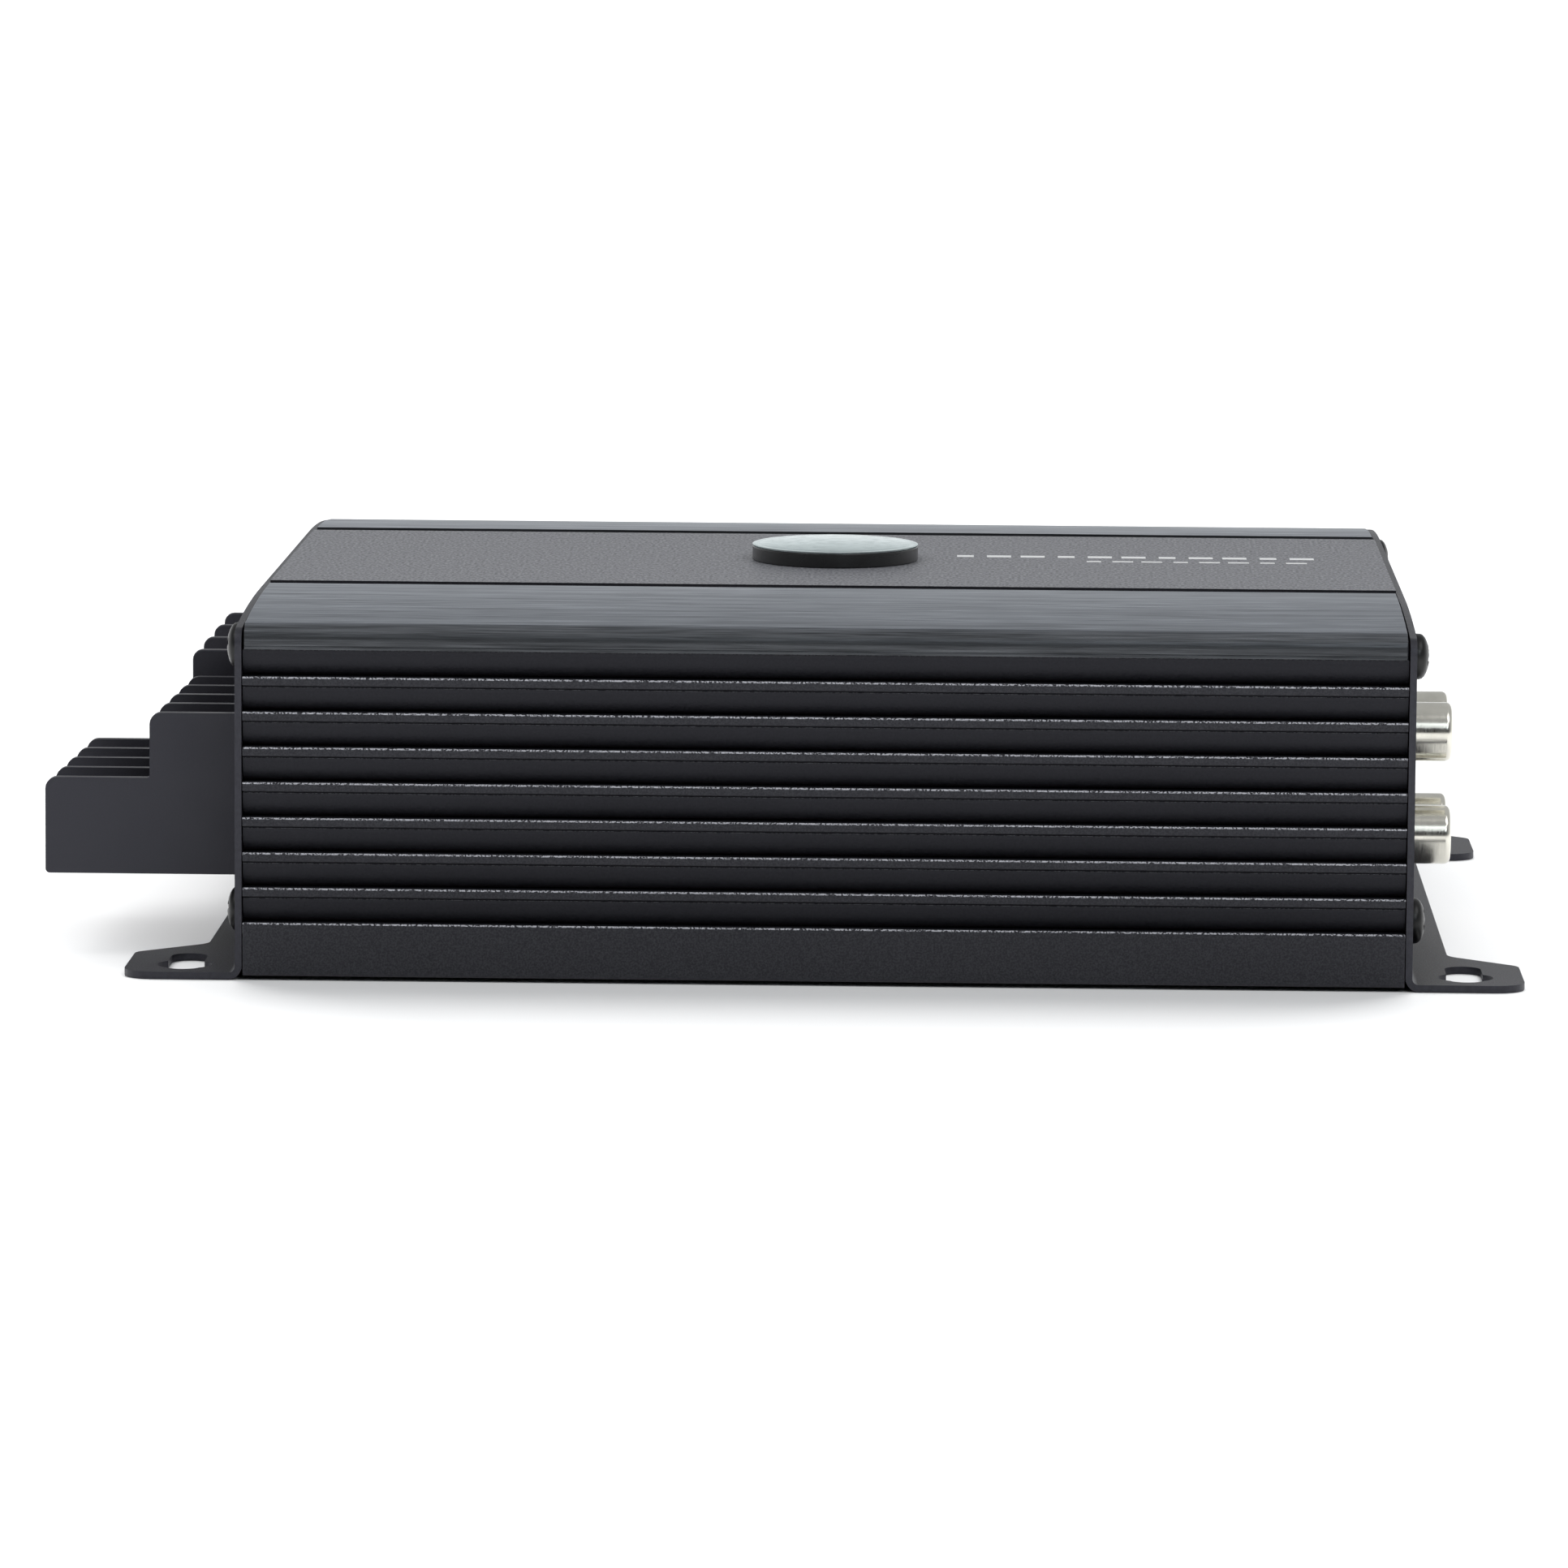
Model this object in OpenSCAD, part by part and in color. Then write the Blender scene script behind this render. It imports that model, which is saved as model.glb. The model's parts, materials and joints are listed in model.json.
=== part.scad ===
// Four-channel car amplifier: ribbed extruded casing with stepped terminal blocks
// on its left end, input jacks and controls on its right end, and everything inside.
// X runs along the extrusion, Y from the front ribs to the rear ribs, Z up.
// The origin is on the mounting plane, below the middle of the casing.

/* [Casing] */
// Length of the extruded casing between the end plates
body_w = 158.5; // [156:0.5:162]
// Depth over the ribs, front to rear
body_d = 165; // [164:0.5:168]
// Height of the casing's crown above the mounting plane
body_h = 50.4; // [50.2:0.1:51]
// Height of the casing walls' lower edge
wall_bottom = 0.6; // [0.4:0.1:0.8]
// Thickness of the wall behind the rib grooves
wall_t = 1.8; // [1.5:0.1:2.2]
// Height of the ceiling inside the casing
ceiling_z = 46.3; // [46:0.1:46.4]

/* [Ribs] */
// Number of grooves on each long side
rib_count = 8; // [8:1:8]
// Height of the lowest rib ledge
rib_first = 7.9; // [7.7:0.1:8.1]
// Height from one ledge to the next
rib_pitch = 4.83; // [4.8:0.01:4.9]
// Depth of a ledge
rib_depth = 2.6; // [2.2:0.1:3]
// Height of the flat land at a rib's edge
land_h = 1.2; // [1:0.05:1.3]

/* [Top] */
// Height of the trims' lower edge
trim_z = 45.4; // [45.2:0.1:45.6]
// Thickness of the brushed trims
trim_t = 1.2; // [1:0.1:1.4]
// Distance of each trim's groove from the long side
seam_s = 42.8; // [40:0.1:45]
// Width of the groove between a trim and the centre panel
seam_gap = 4; // [3:0.1:5]
// Radius of the rounded long edge at the front
corner_r = 2.3; // [2:0.1:2.4]
// How much shorter than the casing a trim is at each end
trim_end_gap = 0.25; // [0.1:0.05:0.5]

/* [End plates] */
// Distance from the casing's end to a plate's outer face
plate_t = 1.05; // [1:0.05:1.2]
// Gap between the casing's end and a plate, which rests on the screw bosses
plate_gap = 0.12; // [0.05:0.01:0.15]
// How far a plate stays below the top
plate_drop = 0.7; // [0.6:0.1:1]
// Width of the foot flange, from the plate's outer face
flange_w = 6.1; // [5:0.1:7]
// Reach of a mounting ear, from the plate's outer face
ear_reach = 15.5; // [15:0.1:16]
// Distance between the two ears of one plate
ear_spacing = 137; // [136:0.5:137]
// Width of a mounting slot
slot_w = 5; // [4.5:0.1:5.5]
// Length of a mounting slot, end to end
slot_l = 15; // [14:0.5:15]
// Diameter of the round part of a mounting slot
keyhole_d = 7.6; // [6.8:0.1:7.8]

/* [Terminals] */
// Distance of the speaker terminals from the front
speaker_s = 20; // [20:0.5:20.5]
// Pitch of the speaker terminals
speaker_pitch = 11.2; // [11:0.1:11.3]
// How much less each speaker terminal divider reaches out than the one in front of it
speaker_taper = 0.26; // [0:0.01:0.28]
// Distance of the power terminals from the front
power_s = 74; // [74:0.5:75]
// Pitch of the power terminals
power_pitch = 16.9; // [16.5:0.1:17]
// Distance of the fuse holder's middle from the front
fuse_s = 144; // [143.5:0.5:144]
// Distance between the two fuses
fuse_pitch = 9.5; // [9.5:0.1:9.8]

/* [Inputs and controls] */
// Radius of an input jack's shell
jack_r = 4.2; // [4.15:0.01:4.2]
// Reach of a jack's shell beyond the end plate
jack_reach = 7.9; // [7:0.1:9]
// Distance of the front pair of jacks from the front
jack_s = 62; // [61:0.5:63]
// Distance between the two pairs of jacks
jack_pitch_y = 14; // [13.5:0.1:14.5]
// Height of the lower jacks
jack_low_z = 13.7; // [13.5:0.1:14]
// Height from the lower jacks to the upper ones
jack_pitch_z = 14.8; // [14.5:0.1:15]
// Radius of a control's shaft
shaft_r = 3; // [2.8:0.1:3]

/* [Badge] */
// Width of the badge along the casing
badge_w = 24; // [20:0.5:26]
// Depth of the badge
badge_d = 28; // [24:0.5:30]

/* [Hidden] */
$fn = 48;
eps = 0.01;
front = -body_d / 2;
half_w = body_w / 2;
plate_x = half_w + plate_t;
wall_in = rib_depth + wall_t;

// Screws through the end plates
end_screw_s = 14.7;
end_screw_z = [7.8, 44.4];
screw_hole_r = 1.6;
thread_r = 1.25;
boss_r = 3;

// Cover, lip and boards
cover_t = 1.2;
lip_t = 2;
lip_s = 12;
board_z = 6.6;
board_t = 1.6;
board_top = board_z + board_t;
board_s = 18.5;
board_x = [-77, 74];
control_x = 70;
mount_rows = [[-64, 26], [-64, 136], [0, 40], [0, 125], [62, 26], [62, 136]];
cover_screw_x = [-68, 0, 68];
cover_screw_s = 8.4;

// Heat-spreading flanges and what is clamped to them
spreader_s = 19.5;
spreader_t = 3;
spreader_x = 56;
spreader_z = 16;
pad_t = 0.3;
package = [10, 4.5, 15.5];
package_pitch = 12.5;
package_z = 20;
package_n = 8;
clamp_t = 3;
clamp_z = [25, 32];
clamp_screw_x = [-37.5, -12.5, 12.5, 37.5];
clamp_screw_z = 28.5;
clamp_screw_r = 1.2;

// Terminal blocks: heights, reaches and cell floors
fin_t = 1.6;
speaker_cells = 4;
speaker_z = [11.8, 25.2, 34.3];
speaker_x = [plate_x + 13.6, plate_x + 28.1];
speaker_floor = [17, 26];
power_fin_t = 1.8;
power_cells = 3;
power_z = [12, 37.2];
power_x = plate_x + 12.7;
power_floor = 27;
block_in = 70;

// Fuses and their holder
fuse_size = [12, 5.1, 19.1];
blade_size = [7.6, 0.65, 5.2];
blade_z = 6.5;
fuse_z = 23;
holder_out = 3.5;
fuse_seat = 2.1;
holder_half = [9, 10];
holder_rim = 1.5;
holder_gap = 0.2;
fuse_gap = 0.3;

// Controls: distance from the front for each one
control_z = 28.5;
switch_z = 13.7;
pot_s = [28, 42, 94, 108];
slider_s = [35, 101, 122];
led_s = [124, 132];
slider_size = [9, 3.6, 2.2];

// Helpers ---------------------------------------------------------------------

function unit(v) = v / norm(v);

// Arc of radius r that rounds corner p between its neighbours a and b
function corner(p, a, b, r, n) = r <= 0 ? [p] :
    let (u = unit(a - p), w = unit(b - p), half = acos(u * w) / 2,
         c = p + unit(u + w) * r / sin(half),
         s = p + u * r / tan(half) - c, e = p + w * r / tan(half) - c,
         from = atan2(s[1], s[0]), swing = atan2(e[1], e[0]) - from,
         turn = swing > 180 ? swing - 360 : swing < -180 ? swing + 360 : swing)
    [for (k = [0:n]) c + r * [cos(from + turn * k / n), sin(from + turn * k / n)]];

// Outline with each corner rounded by its own radius
function rounded(pts, radii, n = 5) = [for (i = [0:len(pts) - 1])
    each corner(pts[i], pts[(i + len(pts) - 1) % len(pts)], pts[(i + 1) % len(pts)], radii[i], n)];

function reversed(v) = [for (i = [len(v) - 1:-1:0]) v[i]];

// Points given as [distance from the front, height], placed in the part's frame
function at_front(v) = [for (p = v) [front + p[0], p[1]]];
function at_rear(v) = [for (p = v) [-front - p[0], p[1]]];

// Extrusion along X of an outline drawn in Y and Z
module along_x(x0, x1) {
    translate([x0, 0, 0]) rotate([90, 0, 90]) linear_extrude(x1 - x0) children();
}

// Box given by its X span, its span of distances from the front, and its Z span
module span(x, s, z) {
    translate([x[0], front + s[0], z[0]]) cube([x[1] - x[0], s[1] - s[0], z[1] - z[0]]);
}

// Rod along X
module rod_x(x0, x1, s, z, r) {
    translate([x0, front + s, z]) rotate([0, 90, 0]) cylinder(h = x1 - x0, r = r);
}

// Rod along Z
module rod_z(x, s, z0, z1, r) {
    translate([x, front + s, z0]) cylinder(h = z1 - z0, r = r);
}

// Domed screw with a cross recess; its seat is at z = 0 and its shank points down
module pan_screw(head_r, head_h, shank_r, shank_l) {
    edge = head_h * 0.4;
    recess = head_r * 1.15;
    blade = head_r * 0.28;
    difference() {
        rotate_extrude() polygon(concat([[0, 0], [head_r * 0.96, 0], [head_r, edge * 0.3]],
            [for (a = [0:15:75]) [head_r * cos(a), edge + (head_h - edge) * sin(a)]],
            [[0, head_h]]));
        for (turn = [0, 90]) rotate(turn)
            translate([-recess / 2, -blade / 2, head_h * 0.45]) cube([recess, blade, head_h]);
    }
    translate([0, 0, -shank_l]) cylinder(h = shank_l + eps, r = shank_r);
}

// Casing profile ----------------------------------------------------------------

// The top falls off towards the front, towards the rear, and along the plates' rear corners
FRONT = 0;
REAR = 1;
PLATE_REAR = 2;
crown_s = [39, 43, 39];
crown_k = [0.00107, 0.0015, 0.00135];
edge_r = [corner_r, corner_r - 0.4, corner_r];
rib_in = 0.3;
crease = 0.25;
groove_turn = 78;
groove_n = 10;
hem_h = 0.35;
hem_groove = 0.15;

// Height of the top at distance s from a long side
function crown(where, s) = body_h - crown_k[where] * pow(max(0, crown_s[where] - s), 2);

function rib_z(i) = rib_first + i * rib_pitch;

// Curved face of a groove, from its ledge at z0 up to z1
function groove(z0, z1) = [for (k = [0:groove_n]) let (a = groove_turn * (1 - k / groove_n))
    [rib_in + (rib_depth - rib_in) * (1 - cos(a)) / (1 - cos(groove_turn)),
     z1 - (z1 - z0) * sin(a) / sin(groove_turn)]];

// Ledge, groove and the land above it
function rib(i) = concat([[0, rib_z(i)]],
    groove(rib_z(i), rib_z(i + 1) - land_h - crease),
    [[rib_in + crease, rib_z(i + 1) - land_h - crease / 2], [0, rib_z(i + 1) - land_h]]);

// Ribbed side, from the lower edge up to the trim
function side() = concat([[0, wall_bottom]],
    [for (i = [0:rib_count - 2]) each rib(i)],
    [[0, rib_z(rib_count - 1)]], groove(rib_z(rib_count - 1), trim_z));

// Rounded edge and crowned top, pushed inwards by inset and down by drop, up to s_end
function cap(where, inset, drop, s_end) =
    let (big = edge_r[where], r = big - inset, z = crown(where, big) - big - drop)
    concat([for (a = [180:-10:90]) [big + r * cos(a), z + r * sin(a)]],
        [for (k = [1:12]) let (s = big + (s_end - big) * k / 12)
            [s, crown(where, s) - inset - drop]]);

function half_profile(where) = concat(side(), [[trim_t, trim_z]],
    cap(where, trim_t, 0, seam_s + seam_gap / 2), [[seam_s + seam_gap / 2, body_h]]);

// The trim has a thin hem along its lower edge, under a shallow groove
function trim_profile(where) = concat([[0, trim_z], [0, trim_z + hem_h],
    [hem_groove, trim_z + hem_h + hem_groove * 0.6], [0, trim_z + hem_h + hem_groove * 1.2]],
    cap(where, 0, 0, seam_s - seam_gap / 2), reversed(cap(where, trim_t, 0, seam_s - seam_gap / 2)),
    [[trim_t, trim_z]]);

function plate_profile(where) = concat([[0, 1.5]], cap(where, 0, plate_drop, body_d / 2));

// Casing ------------------------------------------------------------------------

module heatsink_body() {
    slope = [4, 3];
    outside = concat(at_front(half_profile(FRONT)), reversed(at_rear(half_profile(REAR))));
    inside = [[wall_in, wall_bottom - 1], [wall_in, ceiling_z - slope[1]],
        [wall_in + slope[0], ceiling_z]];
    web = 1.8;
    color([0.13, 0.13, 0.15]) difference() {
        union() {
            difference() {
                along_x(-half_w, half_w) polygon(outside);
                along_x(-half_w - 1, half_w + 1)
                    polygon(concat(at_front(inside), reversed(at_rear(inside))));
            }
            for (s = [0, body_d]) {
                way = s > 0 ? -1 : 1;
                for (z = end_screw_z)
                    rod_x(-half_w - plate_gap, half_w + plate_gap, s + way * end_screw_s, z, boss_r);
                for (box = [[wall_in, end_screw_s, end_screw_z[0] - web / 2, end_screw_z[0] + web / 2],
                            [wall_in, lip_s, cover_t, cover_t + lip_t],
                            [end_screw_s - web / 2, end_screw_s + web / 2, end_screw_z[1], ceiling_z + 1]])
                    span([-half_w, half_w], way > 0 ? [box[0] - eps, box[1]] :
                        [body_d - box[1], body_d - box[0] + eps], [box[2], box[3]]);
                span([-spreader_x, spreader_x], way > 0 ? [spreader_s, spreader_s + spreader_t] :
                    [body_d - spreader_s - spreader_t, body_d - spreader_s],
                    [spreader_z, ceiling_z + 1]);
            }
        }
        for (s = [end_screw_s, body_d - end_screw_s]) for (z = end_screw_z)
            rod_x(-half_w - 1, half_w + 1, s, z, thread_r);
        for (x = cover_screw_x) for (s = [cover_screw_s, body_d - cover_screw_s])
            rod_z(x, s, 0, cover_t + lip_t + eps, thread_r);
        for (x = clamp_screw_x) translate([x, 0, clamp_screw_z]) rotate([90, 0, 0]) {
            translate([0, 0, -front - spreader_s - spreader_t - 1])
                cylinder(h = spreader_t + 2, r = clamp_screw_r);
            translate([0, 0, front + spreader_s - 1])
                cylinder(h = spreader_t + 2, r = clamp_screw_r);
        }
    }
}

module front_trim() {
    color([0.42, 0.43, 0.45]) along_x(-half_w + trim_end_gap, half_w - trim_end_gap)
        polygon(at_front(trim_profile(FRONT)));
}

module rear_trim() {
    color([0.42, 0.43, 0.45]) along_x(-half_w + trim_end_gap, half_w - trim_end_gap)
        polygon(at_rear(trim_profile(REAR)));
}

function oval(w, d, n = 60) = [for (k = [0:n - 1]) [w / 2 * cos(360 * k / n), d / 2 * sin(360 * k / n)]];
badge_base_h = 2.1;
badge_face_h = 0.6;
badge_x = -0.4;

module badge_base() {
    color([0.05, 0.05, 0.05]) translate([badge_x, 0, body_h])
        linear_extrude(badge_base_h) polygon(oval(badge_w, badge_d));
}

module badge_face() {
    color([0.85, 0.86, 0.88]) translate([badge_x, 0, body_h + badge_base_h])
        linear_extrude(badge_face_h, scale = 0.84) polygon(oval(badge_w, badge_d));
}

module bottom_cover() {
    gap = 0.25;
    color([0.1, 0.1, 0.1]) difference() {
        span([-half_w + gap, half_w - gap], [wall_in + gap, body_d - wall_in - gap], [0, cover_t]);
        for (x = cover_screw_x) for (s = [cover_screw_s, body_d - cover_screw_s])
            translate([x, front + s, 0]) {
                translate([0, 0, -eps]) cylinder(h = cover_t - 0.1, r1 = 2.7, r2 = screw_hole_r);
                cylinder(h = cover_t + 1, r = screw_hole_r);
            }
        for (p = mount_rows) rod_z(p[0], p[1], -1, cover_t + 1, 1.8);
    }
}

module bottom_cover_screws() {
    color([0.08, 0.08, 0.08]) for (x = cover_screw_x)
        for (s = [cover_screw_s, body_d - cover_screw_s]) translate([x, front + s, 0]) difference() {
            union() {
                cylinder(h = cover_t - 0.15, r1 = 2.65, r2 = 1.2);
                cylinder(h = 3.6, r = thread_r);
            }
            for (turn = [0, 90]) rotate(turn) translate([-1.4, -0.35, -eps]) cube([2.8, 0.7, 0.8]);
        }
}

// End plates --------------------------------------------------------------------

foot_t = 1;
bend_r = 1.9;
bend_in = 0.85;
ear_flat = 19;
ear_s = 28;

// Bend between a right-hand plate and its foot, drawn in X and Z
module plate_bend() {
    x = [half_w + plate_gap, plate_x, plate_x + bend_r];
    top = 4;
    bend = rounded([[x[0], top], [x[0], 0], [x[2], 0], [x[2], foot_t], [x[1], foot_t], [x[1], top]],
        [0, bend_r, 0, 0, bend_in, 0]);
    translate([0, -front, 0]) rotate([90, 0, 0]) linear_extrude(body_d) polygon(bend);
}

// Foot of a right-hand plate seen from above: a flange with an ear at each end
module plate_foot() {
    x = [plate_x + bend_in, plate_x + flange_w, plate_x + ear_reach];
    ends = [ear_spacing, ear_spacing + ear_flat, ear_spacing + ear_s];
    linear_extrude(foot_t) translate([0, front]) polygon(rounded([[x[0], 0], [x[2], 0],
        [x[2], ear_flat], [x[1], ear_s], [x[1], ends[0]], [x[2], ends[0]], [x[2], ends[1]],
        [x[1], ends[2]], [x[0], ends[2]]], [0, 4, 3, 4, 1, 4, 3, 1, 0]));
}

// Keyhole in an ear that starts at s: a slot along Y crossed by a round opening
module keyhole(s) {
    x = plate_x + 7.6;
    slot_s = s + 10.5;
    round_s = s + 7.5;
    cut = [-1, foot_t + 1];
    reach = (slot_l - slot_w) / 2;
    for (end = [-reach, reach]) rod_z(x, slot_s + end, cut[0], cut[1], slot_w / 2);
    span([x - slot_w / 2, x + slot_w / 2], [slot_s - reach, slot_s + reach], cut);
    rod_z(x, round_s, cut[0], cut[1], keyhole_d / 2);
}

// Right-hand plate with nothing cut out but its screw holes and mounting slots
module plate_blank() {
    difference() {
        union() {
            along_x(half_w + plate_gap, plate_x) polygon(concat(at_front(plate_profile(FRONT)),
                reversed(at_rear(plate_profile(PLATE_REAR)))));
            plate_bend();
            plate_foot();
        }
        for (s = [end_screw_s, body_d - end_screw_s]) for (z = end_screw_z)
            rod_x(half_w - 1, plate_x + 1, s, z, screw_hole_r);
        for (s = [0, ear_spacing]) keyhole(s);
    }
}

speaker_len = speaker_cells * speaker_pitch + fin_t;
power_len = power_cells * power_pitch + power_fin_t;
neck = 1.6;
fit_gap = 0.2;

module left_end_plate() {
    x = [-plate_x - 1, -half_w + 1];
    color([0.12, 0.12, 0.13]) difference() {
        mirror([1, 0, 0]) plate_blank();
        span(x, [speaker_s + neck - fit_gap, speaker_s + speaker_len - neck + fit_gap],
            [speaker_z[0] + neck - fit_gap, speaker_z[2] - neck + fit_gap]);
        span(x, [power_s + neck - fit_gap, power_s + power_len - neck + fit_gap],
            [power_z[0] + neck - fit_gap, power_z[1] - neck + fit_gap]);
        span(x, [fuse_s - holder_half[0] - fit_gap, fuse_s + holder_half[0] + fit_gap],
            [fuse_z - holder_half[1] - fit_gap, fuse_z + holder_half[1] + fit_gap]);
    }
}

module right_end_plate() {
    x = [half_w - 1, plate_x + 1];
    slot = [8, 2.8];
    color([0.12, 0.12, 0.13]) difference() {
        plate_blank();
        for (s = [0, jack_pitch_y]) for (z = [0, jack_pitch_z])
            rod_x(x[0], x[1], jack_s + s, jack_low_z + z, jack_r + 0.5);
        for (s = pot_s) rod_x(x[0], x[1], s, control_z, shaft_r + 0.4);
        for (s = slider_s) span(x, [s - slot[0] / 2, s + slot[0] / 2],
            [switch_z - slot[1] / 2, switch_z + slot[1] / 2]);
        for (s = led_s) rod_x(x[0], x[1], s, control_z, 1.6);
    }
}

module plate_screws(way) {
    for (s = [end_screw_s, body_d - end_screw_s]) for (z = end_screw_z)
        translate([way * plate_x, front + s, z]) rotate([0, way * 90, 0]) rotate(25)
            pan_screw(3.15, 2.3, thread_r, 9);
}

module left_plate_screws() { color([0.06, 0.06, 0.06]) plate_screws(-1); }

module right_plate_screws() { color([0.06, 0.06, 0.06]) plate_screws(1); }

// Terminal blocks -----------------------------------------------------------------

module fin(outline, s, t) {
    translate([0, front + s + t, 0]) rotate([90, 0, 0]) linear_extrude(t) polygon(outline);
}

// Part of a block that passes through the left plate and stands on the main board
module block_tail(s0, s1, z0, z1) {
    span([-plate_x, -block_in], [s0, s1], [z0, z1]);
    span([-half_w + fit_gap, -block_in], [s0, s1], [board_top, z1]);
}

function speaker_screws() = [for (k = [0:speaker_cells - 1]) for (deck = [0, 1])
    [deck == 0 ? -(speaker_x[0] + speaker_x[1]) / 2 : -(plate_x + speaker_x[0]) / 2 - 0.5,
     speaker_s + fin_t / 2 + (k + 0.5) * speaker_pitch, speaker_floor[deck]]];

// Stepped outline of divider k, counted from the front
function speaker_outline(k) = let (x = speaker_x - [1, 1] * k * speaker_taper)
    rounded([[-plate_x, speaker_z[0]], [-x[1], speaker_z[0]], [-x[1], speaker_z[1]],
        [-x[0], speaker_z[1]], [-x[0], speaker_z[2]], [-plate_x, speaker_z[2]]],
        [0, 0.6, 1.6, 0.4, 1.6, 0]);

module speaker_terminal_block() {
    lead = 1.2;
    across = [speaker_s + 0.2, speaker_s + speaker_len - 0.2];
    color([0.09, 0.09, 0.09]) difference() {
        union() {
            for (k = [0:speaker_cells])
                fin(speaker_outline(k), speaker_s + k * speaker_pitch, fin_t);
            span([-speaker_x[1] + lead, -plate_x], across, [speaker_z[0], speaker_floor[0]]);
            span([-speaker_x[0] + lead / 2, -plate_x], across, [speaker_z[0], speaker_floor[1]]);
            span([-plate_x - 1.5, -plate_x], across, [speaker_z[0], speaker_z[2] - lead]);
            block_tail(speaker_s + neck, speaker_s + speaker_len - neck,
                speaker_z[0] + neck, speaker_z[2] - neck);
        }
        for (p = speaker_screws()) rod_z(p[0], p[1], p[2] - 4.6, p[2] + 1, 1.5);
    }
}

module speaker_terminal_clamps() {
    color([0.75, 0.73, 0.68]) for (p = speaker_screws()) difference() {
        span([p[0] - 3.7, p[0] + 3.7], [p[1] - 3.9, p[1] + 3.9], [p[2], p[2] + 0.9]);
        rod_z(p[0], p[1], p[2] - 1, p[2] + 2, 1.6);
    }
}

module speaker_terminal_screws() {
    color([0.75, 0.73, 0.68]) for (p = speaker_screws())
        translate([p[0], front + p[1], p[2] + 0.9]) rotate(p[1] * 7) pan_screw(3, 2.2, 1.5, 5.3);
}

function power_screws() = [for (k = [0:power_cells - 1])
    [-(plate_x + power_x) / 2 - 0.4, power_s + power_fin_t / 2 + (k + 0.5) * power_pitch, power_floor]];

module power_terminal_block() {
    lead = 1;
    outline = rounded([[-plate_x, power_z[0]], [-power_x, power_z[0]], [-power_x, power_z[1]],
        [-plate_x, power_z[1]]], [0, 0.6, 1.4, 0]);
    across = [power_s + 0.2, power_s + power_len - 0.2];
    color([0.07, 0.07, 0.07]) difference() {
        union() {
            for (k = [0:power_cells]) fin(outline, power_s + k * power_pitch, power_fin_t);
            span([-power_x + lead, -plate_x], across, [power_z[0], power_floor]);
            span([-plate_x - 1.5, -plate_x], across, [power_z[0], power_z[1] - lead]);
            block_tail(power_s + neck, power_s + power_len - neck,
                power_z[0] + neck, power_z[1] - neck);
        }
        for (p = power_screws()) rod_z(p[0], p[1], p[2] - 9, p[2] + 1, 2.3);
    }
}

module power_terminal_clamps() {
    color([0.75, 0.73, 0.68]) for (p = power_screws()) difference() {
        span([p[0] - 4.3, p[0] + 4.3], [p[1] - 6.2, p[1] + 6.2], [p[2], p[2] + 1.2]);
        rod_z(p[0], p[1], p[2] - 1, p[2] + 2, 2.4);
    }
}

module power_terminal_screws() {
    color([0.75, 0.73, 0.68]) for (p = power_screws())
        translate([p[0], front + p[1], p[2] + 1.2]) rotate(p[1] * 5) pan_screw(4, 2.9, 2.3, 9.8);
}

// Fuses ----------------------------------------------------------------------------

module fuse_holder() {
    half = holder_half;
    rim = half + [holder_rim, holder_rim];
    s_in = [fuse_s - half[0], fuse_s + half[0]];
    bezel = rounded([[fuse_s - rim[0], fuse_z - rim[1]], [fuse_s + rim[0], fuse_z - rim[1]],
        [fuse_s + rim[0], fuse_z + rim[1]], [fuse_s - rim[0], fuse_z + rim[1]]], [1.5, 1.5, 1.5, 1.5]);
    floor_x = -plate_x + fuse_seat;
    board_reach = 2;
    color([0.08, 0.08, 0.08]) difference() {
        union() {
            along_x(-plate_x - holder_out, -plate_x) polygon(at_front(bezel));
            span([-plate_x, -block_in + 1], s_in, [fuse_z - half[1], fuse_z + half[1]]);
            span([-half_w + fit_gap, -block_in + 1], [s_in[0], fuse_s + board_reach],
                [board_top, fuse_z + half[1]]);
        }
        for (side = [-0.5, 0.5]) {
            s = fuse_s + side * fuse_pitch;
            room = (fuse_size + [0, 2, 2] * fuse_gap) / 2;
            slot = (blade_size + [0, 2, 2] * holder_gap) / 2;
            span([-plate_x - holder_out - 1, floor_x], [s - room[1], s + room[1]],
                [fuse_z - room[2], fuse_z + room[2]]);
            for (z = [-blade_z, blade_z])
                span([floor_x - 1, floor_x + blade_size[0] + 0.6], [s - slot[1], s + slot[1]],
                    [fuse_z + z - slot[2], fuse_z + z + slot[2]]);
        }
    }
}

// Body of a blade fuse seen from its side: two shoulders and a grip between two horns
module fuse_body(s) {
    out = -plate_x + fuse_seat - fuse_gap - fuse_size[0];
    in = out + fuse_size[0];
    half = fuse_size[2] / 2;
    grip = [1.6, 4];
    shoulder = [3.4, 1];
    lower = [[in, -half + shoulder[1]], [out + shoulder[0], -half + shoulder[1]],
        [out + shoulder[0], -half], [out, -half], [out, -grip[1]], [out + grip[0], -grip[1]]];
    radii = [0, 0, 0.3, 0.8, 0.4, 0.3];
    outline = concat(lower, reversed([for (p = lower) [p[0], -p[1]]]));
    fin([for (p = rounded(outline, concat(radii, reversed(radii)), 4)) [p[0], fuse_z + p[1]]],
        s - fuse_size[1] / 2, fuse_size[1]);
}

module fuse_blades(s) {
    x = -plate_x + fuse_seat - fuse_gap;
    for (z = [-blade_z, blade_z]) span([x, x + blade_size[0]],
        [s - blade_size[1] / 2, s + blade_size[1] / 2],
        [fuse_z + z - blade_size[2] / 2, fuse_z + z + blade_size[2] / 2]);
}

module front_fuse_body() { color([0.1, 0.45, 0.2]) fuse_body(fuse_s - fuse_pitch / 2); }

module rear_fuse_body() { color([0.1, 0.45, 0.2]) fuse_body(fuse_s + fuse_pitch / 2); }

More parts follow.
